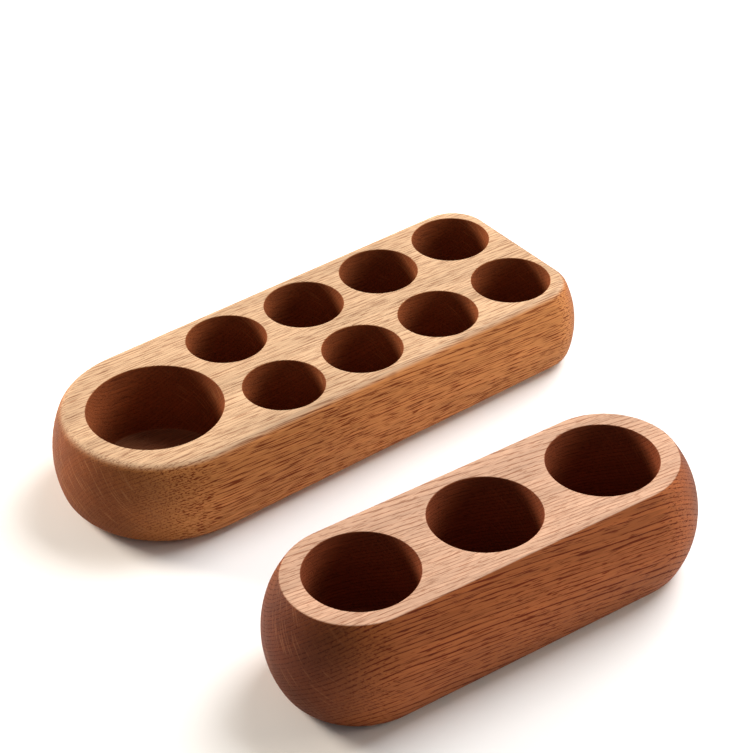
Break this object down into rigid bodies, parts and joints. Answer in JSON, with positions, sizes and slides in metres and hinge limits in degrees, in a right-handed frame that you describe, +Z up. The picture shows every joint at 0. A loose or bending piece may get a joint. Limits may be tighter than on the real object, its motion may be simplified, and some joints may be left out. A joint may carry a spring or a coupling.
{
  "type": "egg holder tray",
  "caption": "Two matching solid timber blocks with round flat-bottomed wells that hold eggs upright; one has a wide extra well.",
  "frame": {"origin": "on the table, under the middle of the pair's bounding box", "axes": "+X along the large block from its wide well to its flat end, +Z up out of the wells, the small block on the -Y side"},
  "size_m": [0.2792, 0.272, 0.0584],
  "materials": {
    "honey_oak": "oiled satin",
    "russet_oak": "oiled satin",
    "silicone_pad": "matt translucent"
  },
  "bodies": {
    "large_block": {"nine_well_block": "honey_oak", "nine_well_pad_1": "silicone_pad", "nine_well_pad_2": "silicone_pad", "nine_well_pad_3": "silicone_pad", "nine_well_pad_4": "silicone_pad"},
    "small_block": {"three_well_block": "russet_oak", "three_well_pad_1": "silicone_pad", "three_well_pad_2": "silicone_pad", "three_well_pad_3": "silicone_pad", "three_well_pad_4": "silicone_pad"}
  },
  "joints": [
    {"name": "small_block_lift", "type": "slide", "parent": "large_block", "child": "small_block", "axis": [0, 0, 1], "range_m": [0, 0.15]}
  ]
}
